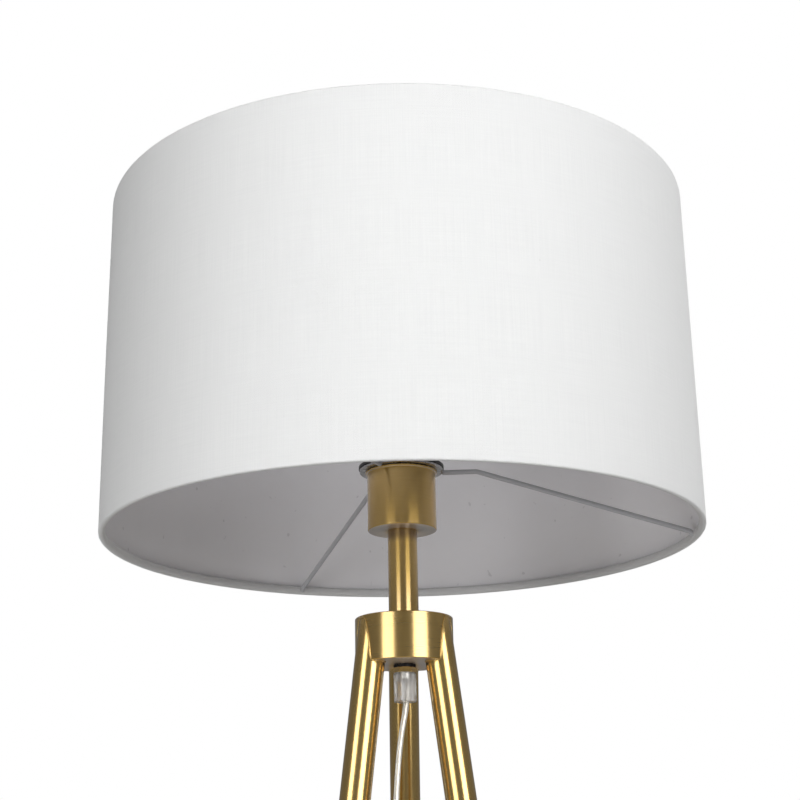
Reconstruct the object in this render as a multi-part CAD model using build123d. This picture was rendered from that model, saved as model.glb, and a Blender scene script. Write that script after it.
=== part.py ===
"""Tripod floor lamp: three straight tube legs, a turned hub, a short stem, a socket cup and a drum shade.

Millimetres. The origin is on the floor under the lamp's axis, +Z is up, and the rear leg stands
towards +Y. Each function makes one piece, or a group of like pieces, and the end of the file writes
them to parts/.
"""

from build123d import *
import math
import os

# Overall heights along the lamp's axis
HUB_TOP = 1212.0
HUB_HEIGHT = 30.4
CUP_BOTTOM = 1272.0
CUP_HEIGHT = 41.2
SHADE_BOTTOM = 1265.0
SHADE_HEIGHT = 235.0

# Tripod
TUBE_D = 20.0
TUBE_WALL = 1.2
HUB_D = 65.4
LEG_SPLAY_DEG = 7.7
LEG_RADIUS_AT_HUB = 26.9
LEG_BEARINGS = {"rear": 90.0, "left": 210.0, "right": 330.0}
LEG_LOWER_LENGTH = 590.0
LEG_TOP_COVER = 1.7
BRAZE_GAP = 0.05
FOOT_HEIGHT = 9.0
FOOT_PLUG_LENGTH = 16.0
STUD_D = 8.0
STUD_LENGTH = 34.0
INSERT_LENGTH = 22.0

# Threaded pipe through hub, stem and cup, and what clamps it
PIPE_D = 10.0
PIPE_BORE_D = 7.2
PIPE_TOP = CUP_BOTTOM + 12.0
NUT_ACROSS_CORNERS = 16.4
NUT_HEIGHT = 3.4
WASHER_D = 14.8
WASHER_HEIGHT = 2.2
WASHER_NOTCHES = 10
WASHER_NOTCH_R = 1.1
RELIEF_D = 14.9
RELIEF_HEIGHT = 19.0
RELIEF_THREAD_DEPTH = 5.5
THREAD_GAP = 0.05

# Socket cup, lampholder and shade rings
CUP_D = 47.0
CUP_WALL = 1.0
LIP_D = 49.4
LIP_HEIGHT = 1.2
HOLDER_D = 39.2
HOLDER_BORE_D = 30.0
HOLDER_LOW = CUP_BOTTOM + 28.0
HOLDER_FLOOR = HOLDER_LOW + 3.0
HOLDER_TOP = HOLDER_LOW + 41.0
TERMINAL_X = 9.0
RING_D = 57.4
RING_NUT_D = 58.6
RING_BORE_D = 40.4
RING_THICKNESS = 1.2
BODY_GAP = 0.3

# Drum shade
SHADE_D = 406.4
FABRIC_THICKNESS = 0.6
LINER_THICKNESS = 0.5
RING_WIRE_D = 3.0
SPOKE_D = 3.4
SPOKE_BEARINGS = {"side": 0.0, "back": 112.0, "front": 238.0}
SPOKE_LEVEL_RUN = 52.0
HEM_DEPTH = 5.6
HEM_WIDTH = 4.4

# Bulb
BASE_D = 26.2
GLOBE_D = 60.0
BULB_BASE_LOW = HOLDER_LOW + 8.0
BULB_LENGTH = 110.0

# Cord, a flat twin lead as wide as CORD_D
CORD_D = 5.3
CORD_LIE = 2.9
CORD_EXIT_X = 1.2
SWITCH_BEARING_DEG = 30.0
SWITCH_DISTANCE = 95.0
SWITCH_LENGTH = 70.0
SWITCH_WIDTH = 38.0
SWITCH_BASE_HEIGHT = 7.0
SWITCH_COVER_HEIGHT = 13.0
SWITCH_WALL = 2.0
SWITCH_POST_PLACE = (19.0, 9.0)
SWITCH_POST_R = 3.6
SWITCH_SCREW_R = 1.5
BUTTON_D = 22.0
BUTTON_TRAVEL = 2.5
BUTTON_LEFT_STANDING = 2.0
COIL_CENTRE = (150.0, 150.0)
COIL_RADIUS_IN = 22.5
COIL_RADIUS_OUT = 38.7
COIL_LAYER = 5.4
PLUG_FACE = (50.0, 172.0)
PLUG_LENGTH = 27.0
PLUG_WIDTH = 24.0
PLUG_HEIGHT = 15.0

HUB_BOTTOM = HUB_TOP - HUB_HEIGHT
CUP_TOP = CUP_BOTTOM + CUP_HEIGHT
RING_LOW = CUP_TOP + BODY_GAP
SPOKE_HEIGHT = RING_LOW + RING_THICKNESS - SPOKE_D / 2 - 0.1
WELD_DEPTH = 0.4
SHADE_TOP = SHADE_BOTTOM + SHADE_HEIGHT
SHADE_R = SHADE_D / 2
WIRE_RING_R = SHADE_R - FABRIC_THICKNESS - LINER_THICKNESS - RING_WIRE_D / 2
WIRE_INSET = 1.2 + RING_WIRE_D / 2
NUT_TOP = HUB_BOTTOM - WASHER_HEIGHT
RELIEF_TOP = NUT_TOP - NUT_HEIGHT
RELIEF_BOTTOM = RELIEF_TOP - RELIEF_HEIGHT
CHAMBER_BOTTOM = RELIEF_TOP - RELIEF_THREAD_DEPTH
PIPE_BOTTOM = CHAMBER_BOTTOM + 1.5
SPLAY = math.radians(LEG_SPLAY_DEG)
FLOOR_RADIUS = LEG_RADIUS_AT_HUB + HUB_BOTTOM * math.tan(SPLAY)
LEG_TOP_ON_AXIS = (HUB_TOP - LEG_TOP_COVER) / math.cos(SPLAY)
BOTTOM = (Align.CENTER, Align.CENTER, Align.MIN)
REACH = 40.0


def tube(outer_d, inner_d, low, high):
    """An upright tube on the lamp's axis, from one height to another."""
    wall = Cylinder(outer_d / 2, high - low, align=BOTTOM)
    wall -= Cylinder(inner_d / 2, high - low, align=BOTTOM)
    return Pos(0, 0, low) * wall


def rod(diameter, low, high):
    """An upright round bar on the lamp's axis, from one height to another."""
    return Pos(0, 0, low) * Cylinder(diameter / 2, high - low, align=BOTTOM)


def turned(*profile):
    """A solid of revolution about the lamp's axis, from (radius, height) points."""
    outline = make_face(Plane.XZ * Polyline(*profile, close=True))
    return revolve(outline, Axis.Z)


def hex_nut(across_corners, bore_d, low, height):
    """A plain hexagon nut on the lamp's axis."""
    blank = extrude(RegularPolygon(across_corners / 2, 6), height)
    blank -= Cylinder(bore_d / 2, height, align=BOTTOM)
    return Pos(0, 0, low) * blank


def around(bearing, radius=0.0, height=0.0):
    """A place on a circle about the lamp's axis, turned to face outwards."""
    return Rot(0, 0, bearing) * Pos(radius, 0, height)


def leg_frame(bearing):
    """The frame of a leg's own axis: its origin is where that axis meets the floor."""
    angle = math.radians(bearing)
    out = Vector(math.cos(angle), math.sin(angle), 0)
    up_leg = Vector(0, 0, 1) * math.cos(SPLAY) - out * math.sin(SPLAY)
    return Plane(origin=out * FLOOR_RADIUS, x_dir=out * math.cos(SPLAY) + Vector(0, 0, 1) * math.sin(SPLAY),
                 z_dir=up_leg)


def on_leg(bearing, shape, distance):
    """A shape placed on a leg's axis, its base so far up from the floor."""
    return leg_frame(bearing) * Pos(0, 0, distance) * shape


def below(shape, height):
    """What is left of a shape under a level plane."""
    return shape - Pos(0, 0, height) * Box(600, 600, REACH, align=BOTTOM)


def above(shape, height):
    """What is left of a shape over a level plane."""
    return shape - Pos(0, 0, height - REACH) * Box(600, 600, REACH, align=BOTTOM)


def save(name, *solids):
    """Write one node, which may be a group of like solids."""
    shape = solids[0] if len(solids) == 1 else Compound(children=list(solids))
    export_step(shape, f"parts/{name}.step")


# Tripod


def hub():
    """A turned block: three slanted pockets take the legs, which stand a little out of its side."""
    block = rod(HUB_D, HUB_BOTTOM, HUB_TOP)
    block = chamfer(block.edges().group_by(Axis.Z)[-1], 0.5)
    block = chamfer(block.edges().group_by(Axis.Z)[0], 0.4)
    for bearing in LEG_BEARINGS.values():
        pocket = on_leg(bearing, Cylinder(TUBE_D / 2 + BRAZE_GAP, 60, align=BOTTOM), LEG_TOP_ON_AXIS - 50)
        block -= below(pocket, HUB_TOP - LEG_TOP_COVER + BRAZE_GAP)
    return block - rod(PIPE_D + 2 * THREAD_GAP, HUB_BOTTOM, HUB_TOP)


def leg_upper(bearing):
    """The upper leg tube, brazed into the hub and cut level inside it."""
    low = LEG_LOWER_LENGTH
    length = LEG_TOP_ON_AXIS + REACH / 4 - low
    wall = Cylinder(TUBE_D / 2, length, align=BOTTOM)
    wall = chamfer(wall.edges().group_by(Axis.Z)[0], 0.3)
    wall -= Cylinder(TUBE_D / 2 - TUBE_WALL, length, align=BOTTOM)
    return below(on_leg(bearing, wall, low), HUB_TOP - LEG_TOP_COVER)


def leg_lower(bearing):
    """The lower leg tube, square at both ends: it screws on below the joint."""
    length = LEG_LOWER_LENGTH - FOOT_HEIGHT
    wall = Cylinder(TUBE_D / 2, length, align=BOTTOM)
    wall = chamfer(wall.edges().group_by(Axis.Z)[-1], 0.3)
    wall -= Cylinder(TUBE_D / 2 - TUBE_WALL, length, align=BOTTOM)
    return on_leg(bearing, wall, FOOT_HEIGHT)


def leg_insert(bearing, low):
    """A tapped plug pressed into the end of a leg tube."""
    plug = Cylinder(TUBE_D / 2 - TUBE_WALL - THREAD_GAP, INSERT_LENGTH, align=BOTTOM)
    plug -= Cylinder(STUD_D / 2 + THREAD_GAP, INSERT_LENGTH, align=BOTTOM)
    return on_leg(bearing, plug, low)


def leg_stud(bearing):
    """The headless screw that joins the two halves of a leg."""
    bar = Cylinder(STUD_D / 2, STUD_LENGTH, align=BOTTOM)
    return on_leg(bearing, bar, LEG_LOWER_LENGTH - STUD_LENGTH / 2)


def foot(bearing):
    """A push-in foot: a plug inside the tube and a pad whose sole is level with the floor."""
    pad = Cylinder(TUBE_D / 2, FOOT_HEIGHT + 12, align=(Align.CENTER, Align.CENTER, Align.MAX))
    pad = leg_frame(bearing) * Pos(0, 0, FOOT_HEIGHT) * pad
    pad = above(pad, 0)
    plug = Cylinder(TUBE_D / 2 - TUBE_WALL - THREAD_GAP, FOOT_PLUG_LENGTH, align=BOTTOM)
    return pad + on_leg(bearing, plug, FOOT_HEIGHT)


# Stem, threaded pipe and the pieces under the hub


def stem():
    """The short tube between hub and cup, clamped by the pipe inside it."""
    return tube(TUBE_D, TUBE_D - 2 * TUBE_WALL, HUB_TOP, CUP_BOTTOM)


def threaded_pipe():
    """The hollow threaded pipe that clamps cup, stem and hub and carries the leads."""
    return tube(PIPE_D, PIPE_BORE_D, PIPE_BOTTOM, PIPE_TOP)


def hub_washer():
    """The black lock washer between hub and nut, notched all round."""
    ring = rod(WASHER_D, NUT_TOP, HUB_BOTTOM)
    ring = chamfer(ring.edges(), 0.3)
    for notch in range(WASHER_NOTCHES):
        turn = 360 * (notch + 0.3) / WASHER_NOTCHES
        ring -= around(turn, WASHER_D / 2, NUT_TOP) * Cylinder(WASHER_NOTCH_R, WASHER_HEIGHT, align=BOTTOM)
    return ring - rod(PIPE_D + 2 * THREAD_GAP, NUT_TOP, HUB_BOTTOM)


def hub_nut():
    """The brass nut under the hub, its corners turned off."""
    nut = hex_nut(NUT_ACROSS_CORNERS, PIPE_D + 2 * THREAD_GAP, RELIEF_TOP, NUT_HEIGHT)
    dome = rod(NUT_ACROSS_CORNERS, RELIEF_TOP, NUT_TOP)
    dome = chamfer(dome.edges(), 0.7)
    return nut & dome


def strain_relief():
    """The clear grip on the pipe's lower end: a chamber for the pipe and a bore for the cord."""
    body = rod(RELIEF_D, RELIEF_BOTTOM, RELIEF_TOP)
    body = chamfer(body.edges(), 0.5)
    body -= rod(PIPE_D + 2 * THREAD_GAP, CHAMBER_BOTTOM, RELIEF_TOP)
    body -= Pos(CORD_EXIT_X, 0, 0) * rod(CORD_D + 0.8, RELIEF_BOTTOM, CHAMBER_BOTTOM)
    return body - relief_screw(3.1, 0)


def relief_screw(diameter=3.0, head_d=5.0):
    """The nylon grub screw at the back of the strain relief, which grips the cord."""
    start = CORD_D / 2 + 0.1
    shank = Pos(CORD_EXIT_X, start, RELIEF_BOTTOM + 4) * Rot(-90, 0, 0)
    screw = shank * Cylinder(diameter / 2, 5.6, align=BOTTOM)
    if head_d:
        screw += shank * Pos(0, 0, 5.6) * Cylinder(head_d / 2, 1.6, align=BOTTOM)
    return screw


# Socket cup and lampholder


def socket_cup():
    """The brass cup: a flat floor, a straight wall and a bead rolled round its mouth."""
    r = CUP_D / 2
    inner = r - CUP_WALL
    lip = LIP_D / 2
    bead = CUP_TOP - LIP_HEIGHT
    hole = PIPE_D / 2 + THREAD_GAP
    return turned((hole, CUP_BOTTOM), (r - 0.8, CUP_BOTTOM), (r, CUP_BOTTOM + 0.8), (r, bead - 0.5),
                  (lip - 0.4, bead), (lip, bead + 0.4), (lip, CUP_TOP - 0.3), (lip - 0.3, CUP_TOP),
                  (inner, CUP_TOP), (inner, CUP_BOTTOM + CUP_WALL), (hole, CUP_BOTTOM + CUP_WALL))


def cup_washer():
    """The toothed washer on the cup's floor."""
    return tube(WASHER_D, PIPE_D + 2 * THREAD_GAP, CUP_BOTTOM + CUP_WALL, CUP_BOTTOM + CUP_WALL + 1)


def cup_nut():
    """The nut that clamps the cup, inside it."""
    return hex_nut(NUT_ACROSS_CORNERS, PIPE_D + 2 * THREAD_GAP, CUP_BOTTOM + CUP_WALL + 1, NUT_HEIGHT)


def holder_cap():
    """The lampholder's black cap, screwed on the top of the pipe."""
    boss = CUP_BOTTOM + 6.2
    plate = PIPE_TOP + 2
    top = HOLDER_LOW
    r = 17.6
    hole = PIPE_D / 2 + THREAD_GAP
    return turned((hole, boss), (8, boss), (8, boss + 4), (r - 3, boss + 4), (r, boss + 7), (r, top),
                  (r - 2, top), (r - 2, plate), (3.7, plate), (3.7, PIPE_TOP), (hole, PIPE_TOP))


def holder_body():
    """The lampholder's black body, which stands out of the cup and carries the ring nut."""
    low = HOLDER_LOW
    floor = HOLDER_FLOOR
    r = HOLDER_D / 2
    bore = HOLDER_BORE_D / 2
    body = turned((0, low), (r, low), (r, HOLDER_TOP - 1), (r - 1, HOLDER_TOP), (bore, HOLDER_TOP),
                  (bore, floor), (0, floor))
    for side in (-1, 1):
        body -= Pos(TERMINAL_X * side, 0, 0) * rod(4.0 + 2 * THREAD_GAP, low, floor)
    return body


def screw_shell():
    """The holder's aluminium screw shell for the bulb's base."""
    return tube(BASE_D + 2, BASE_D + 0.8, HOLDER_FLOOR + 2, HOLDER_TOP - 8)


def centre_contact():
    """The springy brass tongue under the bulb's tip."""
    rest = HOLDER_FLOOR + 0.3
    path = Polyline((-7, 0, rest), (-4, 0, rest), (3.4, 0, rest + 3.9))
    strip = Plane(origin=(-7, 0, rest), x_dir=(0, 1, 0), z_dir=(1, 0, 0)) * Rectangle(5, 0.5)
    return sweep(strip, path, transition=Transition.RIGHT)


def terminal_screw(side):
    """One brass terminal screw, its head in the cap and its shank through the holder's floor."""
    head = Pos(TERMINAL_X * side, 0, 0) * rod(6.4, HOLDER_LOW - 2.6, HOLDER_LOW)
    shank = Pos(TERMINAL_X * side, 0, 0) * rod(4.0, HOLDER_LOW, HOLDER_FLOOR)
    return head + shank


def lead(side):
    """One insulated lead, from the cord's split end up through the pipe to its terminal."""
    x = 0.45 + 1.3 * side
    path = FilletPolyline((x, 0, CHAMBER_BOTTOM + 0.2), (x, 0, PIPE_TOP + 1), (4.6 * side, 0, PIPE_TOP + 8),
                          (TERMINAL_X * side, 0, HOLDER_LOW - 4), radius=(4, 4))
    start = Plane(origin=path @ 0, z_dir=path % 0)
    return sweep(start * Circle(1.2), path)


def ring_nut():
    """The black ring nut that clamps the shade's ring on the lampholder."""
    low = RING_LOW + RING_THICKNESS + BODY_GAP
    bore = HOLDER_D / 2 + THREAD_GAP
    rim = RING_NUT_D / 2
    nut = turned((bore, low), (rim - 0.4, low), (rim, low + 0.4), (rim, low + 2.2), (rim - 0.6, low + 2.8),
                 (25, low + 3.2), (24, low + 9), (23.4, low + 9.6), (bore, low + 9.6))
    for turn in range(0, 360, 15):
        nut -= around(turn, 24.6, low + 3.6) * Cylinder(1.0, REACH, align=BOTTOM)
    return nut


# Bulb


def bulb_tip():
    """The bulb's centre contact."""
    return turned((0, BULB_BASE_LOW), (3, BULB_BASE_LOW), (5, BULB_BASE_LOW + 1.2), (5, BULB_BASE_LOW + 2),
                  (0, BULB_BASE_LOW + 2))


def bulb_insulator():
    """The black glass between tip and screw shell."""
    low = BULB_BASE_LOW + 2
    return turned((0, low), (6.5, low), (11, low + 4), (11, low + 5), (0, low + 5))


def bulb_shell():
    """The bulb's screw shell."""
    low = BULB_BASE_LOW + 7
    return tube(BASE_D, BASE_D - 1.2, low, low + 20)


def bulb_housing():
    """The white plastic body of the bulb, plugged into its shell."""
    low = BULB_BASE_LOW + 8
    shell_top = BULB_BASE_LOW + 27
    inner = BASE_D / 2 - 0.65
    top = BULB_BASE_LOW + 57
    wall = 2.0
    return turned((0, low), (inner, low), (inner, shell_top), (BASE_D / 2 + 0.4, shell_top),
                  (14.4, shell_top + 6), (21, shell_top + 17), (27, top - 4), (28, top), (28 - wall, top),
                  (27 - wall, top - 4), (21 - wall, shell_top + 17), (14.4 - wall, shell_top + 6),
                  (inner - wall, shell_top), (inner - wall, low + wall), (0, low + wall))


def led_board():
    """The round board that carries the diodes, on a shelf in the housing's mouth."""
    top = BULB_BASE_LOW + 57
    return rod(50, top - 2.6, top - 1) + rod(20, top - 1, top)


def bulb_globe():
    """The milky diffuser, a round cap on the housing."""
    low = BULB_BASE_LOW + 57
    centre = BULB_BASE_LOW + BULB_LENGTH - GLOBE_D / 2
    ball = Pos(0, 0, centre) * Sphere(GLOBE_D / 2)
    ball -= Pos(0, 0, centre) * Sphere(GLOBE_D / 2 - 1.5)
    neck_height = math.sqrt((GLOBE_D / 2) ** 2 - 28**2)
    cap = above(ball, centre - neck_height)
    neck = tube(56, 53, low, centre - neck_height)
    return cap + neck


# Drum shade


def shade_fabric():
    """The linen outer cover, laminated on the liner."""
    outer = SHADE_D
    return tube(outer, outer - 2 * FABRIC_THICKNESS, SHADE_BOTTOM + 0.8, SHADE_TOP - 0.8)


def shade_liner():
    """The stiff white plastic liner that keeps the drum round."""
    outer = SHADE_D - 2 * FABRIC_THICKNESS
    return tube(outer, outer - 2 * LINER_THICKNESS, SHADE_BOTTOM + 1.6, SHADE_TOP - 1.6)


def hem(edge, inward):
    """The cover's edge, rolled round a wire ring: edge is its height, inward points into the drum."""
    back = SHADE_R - FABRIC_THICKNESS - LINER_THICKNESS
    front = back - HEM_WIDTH + 1.0
    band = turned((SHADE_R, edge + 0.8 * inward), (SHADE_R - 0.5, edge), (front + 1, edge),
                  (front, edge + 1.2 * inward), (front, edge + (HEM_DEPTH - 1) * inward),
                  (front + 0.8, edge + HEM_DEPTH * inward), (back, edge + HEM_DEPTH * inward),
                  (back, edge + 1.6 * inward), (back + LINER_THICKNESS, edge + 1.6 * inward),
                  (back + LINER_THICKNESS, edge + 0.8 * inward))
    return band - Pos(0, 0, edge + WIRE_INSET * inward) * Torus(WIRE_RING_R, RING_WIRE_D / 2 + 0.02)


def wire_ring(height):
    """A steel wire hoop in one edge of the drum."""
    return Pos(0, 0, height) * Torus(WIRE_RING_R, RING_WIRE_D / 2)


def fitter_ring():
    """The white flat ring that sits on the cup's lip, round the lampholder."""
    return tube(RING_D, RING_BORE_D, RING_LOW, RING_LOW + RING_THICKNESS)


def spoke_path():
    """The bent line of a spoke in its own upright plane: level from the ring, then down to the hoop."""
    end_z = SHADE_BOTTOM + WIRE_INSET
    near = WIRE_RING_R - RING_WIRE_D / 2
    start = (RING_D / 2 - WELD_DEPTH, 0, SPOKE_HEIGHT)
    bend = (SPOKE_LEVEL_RUN, 0, SPOKE_HEIGHT + 0.6)
    foot_bend = (near - 2.4, 0, end_z + 2.2)
    end = (near + WELD_DEPTH, 0, end_z - 0.4)
    return FilletPolyline(start, bend, foot_bend, end, radius=(7, 2))


def spoke(bearing, extra=0.0):
    """One painted steel wire spoke, welded to the ring and to the hoop."""
    path = spoke_path()
    start = Plane(origin=path @ 0, z_dir=path % 0)
    return Rot(0, 0, bearing) * sweep(start * Circle(SPOKE_D / 2 + extra), path)


# Cord, foot switch and plug

DROP_ROUTE = [
    (CORD_EXIT_X, 0.0, CHAMBER_BOTTOM),
    (0.9, -0.1, 1154.5),
    (-2.9, -0.8, 1138.0),
    (-5.9, -1.8, 1113.0),
    (-8.1, -3.2, 1077.0),
    (-9.2, -5.4, 1026.0),
    (-7.6, -8.0, 960.0),
    (-3.2, -10.6, 888.0),
    (2.3, -12.2, 815.0),
    (5.8, -12.4, 741.0),
    (4.9, -10.8, 666.0),
    (-0.6, -8.6, 591.0),
    (-8.2, -7.4, 516.0),
    (-15.1, -8.2, 441.0),
    (-19.6, -11.8, 367.0),
    (-22.8, -16.6, 294.0),
    (-28.4, -21.4, 223.0),
    (-36.2, -25.6, 157.0),
    (-42.6, -28.2, 99.0),
    (-44.6, -27.6, 56.0),
    (-37.4, -23.0, 25.0),
    (-20.0, -12.6, 8.2),
    (4.0, 1.4, 3.2),
    (27.0, 15.8, 4.6),
    (43.6, 25.2, 6.8),
]
LEAD_ROUTE = [
    (127.2, 73.4, 6.5),
    (147.0, 85.6, CORD_LIE),
    (167.6, 101.0, CORD_LIE),
    (182.4, 121.4, CORD_LIE),
]
TAIL_ROUTE = [
    (137.6, 188.5, 7.6),
    (125.0, 184.2, 5.8),
    (113.4, 177.6, 4.9),
    (101.6, 172.1, 7.4),
]


def switch_place(along, height=0.0):
    """A point on the foot switch's long axis, measured from its middle."""
    angle = math.radians(SWITCH_BEARING_DEG)
    reach = SWITCH_DISTANCE + along
    return (reach * math.cos(angle), reach * math.sin(angle), height)


def tube_along(points, name):
    """A cord's tube: straight runs joined by the largest tangent arcs that its runs allow."""
    corners = [Vector(*p) for p in points]
    radii = []
    for before, here, after in zip(corners, corners[1:], corners[2:]):
        turn = math.radians((here - before).get_angle(after - here))
        shorter = min((here - before).length, (after - here).length)
        radii.append(0.45 * shorter / math.tan(turn / 2))
    path = FilletPolyline(*corners, radius=tuple(radii))
    solid = sweep(Plane(origin=path @ 0, z_dir=path % 0) * Circle(CORD_D / 2), path)
    expected = math.pi * (CORD_D / 2) ** 2 * path.length
    print(name, "length", round(path.length, 1), "volume share", round(solid.volume / expected, 4))
    print(name, "radii", [round(r, 1) for r in radii])
    return solid


def cord_drop():
    """The cord from the strain relief down to the floor and into the foot switch."""
    end = switch_place(-SWITCH_LENGTH / 2 + 7, SWITCH_BASE_HEIGHT)
    return tube_along([*DROP_ROUTE, end], "cord_drop")


def cord_lead():
    """The cord from the foot switch to the coil."""
    start = switch_place(SWITCH_LENGTH / 2 - 7, SWITCH_BASE_HEIGHT)
    end = (COIL_CENTRE[0] + COIL_RADIUS_OUT, COIL_CENTRE[1], CORD_LIE)
    return tube_along([start, *LEAD_ROUTE, end], "cord_lead")


def cord_tail():
    """The cord from the coil's upper layer to the plug."""
    start = (COIL_CENTRE[0], COIL_CENTRE[1] + COIL_RADIUS_OUT, CORD_LIE + COIL_LAYER)
    end = (PLUG_FACE[0] + PLUG_LENGTH + 8, PLUG_FACE[1], PLUG_HEIGHT / 2)
    return tube_along([start, *TAIL_ROUTE, end], "cord_tail")


def cord_coil():
    """The outer shape of the put-away coil: two layers of turns, lying side by side."""
    inner = COIL_RADIUS_IN - CORD_D / 2
    outer = COIL_RADIUS_OUT + CORD_D / 2
    high = CORD_LIE + COIL_LAYER + CORD_D / 2
    ring = turned((inner, 2), (inner + 2, 0), (outer - 2, 0), (outer, 2), (outer, high - 2),
                  (outer - 2, high), (inner + 2, high), (inner, high - 2))
    return Pos(*COIL_CENTRE, 0) * ring


def pill(length, width, height):
    """A flat block with half-round ends."""
    return extrude(SlotOverall(length, width), height)


def in_switch(shape):
    """A shape moved from the switch's own frame to where it lies."""
    return Pos(*switch_place(0)) * Rot(0, 0, SWITCH_BEARING_DEG) * shape


def post_place(side, height):
    """The place of one of the switch's two screws, at a height in the switch's own frame."""
    return Pos(SWITCH_POST_PLACE[0] * side, SWITCH_POST_PLACE[1] * side, height)


def cord_bores():
    """The two round holes, half in the base and half in the cover, that the cord passes."""
    bore = Pos(0, 0, SWITCH_BASE_HEIGHT) * Rot(0, 90, 0) * Cylinder(CORD_D / 2 + 0.25, 12)
    return Pos(SWITCH_LENGTH / 2 - 3, 0, 0) * bore + Pos(3 - SWITCH_LENGTH / 2, 0, 0) * bore


def switch_base():
    """The foot switch's flat base with a rim inside and two counterbored screw holes."""
    base = pill(SWITCH_LENGTH, SWITCH_WIDTH, SWITCH_BASE_HEIGHT)
    base = chamfer(base.edges().group_by(Axis.Z)[0], 0.8)
    room = pill(SWITCH_LENGTH - 2 * SWITCH_WALL, SWITCH_WIDTH - 2 * SWITCH_WALL, SWITCH_BASE_HEIGHT)
    base -= Pos(0, 0, SWITCH_WALL) * room
    post = Cylinder(SWITCH_POST_R, SWITCH_BASE_HEIGHT - SWITCH_WALL, align=BOTTOM)
    hole = Cylinder(SWITCH_SCREW_R + 0.1, SWITCH_BASE_HEIGHT, align=BOTTOM)
    hole += Cylinder(3.0, 2.4, align=BOTTOM)
    for side in (-1, 1):
        base += post_place(side, SWITCH_WALL) * post
        base -= post_place(side, 0) * hole
    return in_switch(base - cord_bores())


def switch_cover():
    """The foot switch's cover, a shell with a round hole for the button."""
    cover = pill(SWITCH_LENGTH, SWITCH_WIDTH, SWITCH_COVER_HEIGHT)
    cover = fillet(cover.edges().group_by(Axis.Z)[-1], 4)
    room_height = SWITCH_COVER_HEIGHT - SWITCH_WALL
    cover -= pill(SWITCH_LENGTH - 2 * SWITCH_WALL, SWITCH_WIDTH - 2 * SWITCH_WALL, room_height)
    post = Cylinder(SWITCH_POST_R, room_height, align=BOTTOM)
    post -= Cylinder(SWITCH_SCREW_R + 0.1, 8, align=BOTTOM)
    for side in (-1, 1):
        cover += post_place(side, 0) * post
    cover -= Cylinder(BUTTON_D / 2 + BODY_GAP, SWITCH_COVER_HEIGHT, align=BOTTOM)
    cover = Pos(0, 0, SWITCH_BASE_HEIGHT) * cover
    return in_switch(cover - cord_bores())


def switch_button():
    """The domed button, with a flange under the cover that keeps it in."""
    top = SWITCH_BASE_HEIGHT + SWITCH_COVER_HEIGHT
    under = top - SWITCH_WALL - BODY_GAP
    r = BUTTON_D / 2
    crown = top + BUTTON_TRAVEL + BUTTON_LEFT_STANDING
    button = turned((0, under - 2), (r + 1.6, under - 2), (r + 1.6, under), (r, under), (r, crown - 1.9),
                    (r - 1.4, crown - 0.9), (5, crown - 0.1), (0, crown))
    return in_switch(button - rod(8, under - 2, under - 0.6))


def switch_spring():
    """The coil spring under the button."""
    low = SWITCH_WALL + 0.5
    high = SWITCH_BASE_HEIGHT + SWITCH_COVER_HEIGHT - SWITCH_WALL - BODY_GAP - 0.6 - 0.5
    path = Helix(pitch=(high - low) / 4, height=high - low, radius=3.0)
    wire = sweep(Plane(origin=path @ 0, z_dir=path % 0) * Circle(0.4), path, is_frenet=True)
    return in_switch(Pos(0, 0, low) * wire)


def switch_screw(side):
    """One screw that holds the cover to the base, from below."""
    head = Cylinder(2.8, 1.8, align=BOTTOM)
    shank = Pos(0, 0, 1.8) * Cylinder(SWITCH_SCREW_R, 11, align=BOTTOM)
    return in_switch(post_place(side, 0.6) * (head + shank))


def switch_contact(side):
    """One brass contact block on the switch's floor."""
    block = Pos(14 * side, -8 * side, SWITCH_WALL) * Box(7, 6, 4, align=BOTTOM)
    return in_switch(block)


def plug_frame():
    """The plug's place: its face is at the origin, its blades point to -X and the cord comes from +X."""
    return Pos(PLUG_FACE[0], PLUG_FACE[1], PLUG_HEIGHT / 2)


def plug_body():
    """The moulded plug with a ribbed, tapered tail."""
    block = Box(PLUG_LENGTH, PLUG_WIDTH, PLUG_HEIGHT, align=(Align.MIN, Align.CENTER, Align.CENTER))
    block = fillet(block.edges().filter_by(Axis.X), 4)
    block = chamfer(block.edges().group_by(Axis.X)[-1], 1.5)
    tail = Pos(PLUG_LENGTH, 0, 0) * Rot(0, 90, 0) * Cone(6, 4, 16, align=BOTTOM)
    body = block + tail
    for rib in range(4):
        groove = Cylinder(8, 1.2) - Cylinder(4.6 - 0.3 * rib, 1.2)
        body -= Pos(PLUG_LENGTH + 3 + 3.2 * rib, 0, 0) * Rot(0, 90, 0) * groove
    body -= Pos(PLUG_LENGTH + 7, 0, 0) * Rot(0, 90, 0) * Cylinder(CORD_D / 2 + 0.3, 12, align=BOTTOM)
    for side in (-1, 1):
        body -= Pos(0, 6.35 * side, 0) * Box(9, 1.7, 6.6, align=(Align.MIN, Align.CENTER, Align.CENTER))
    return plug_frame() * body


def plug_blade(side):
    """One flat blade of the plug, with the round hole near its end."""
    blade = Box(25, 1.5, 6.35, align=(Align.MIN, Align.CENTER, Align.CENTER))
    blade = Pos(-17, 0, 0) * blade
    blade = chamfer(blade.edges().group_by(Axis.X)[0], 0.5)
    blade -= Pos(-12, 0, 0) * Rot(90, 0, 0) * Cylinder(1.6, 4)
    return plug_frame() * Pos(0, 6.35 * side, 0) * blade


os.makedirs("parts", exist_ok=True)

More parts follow.
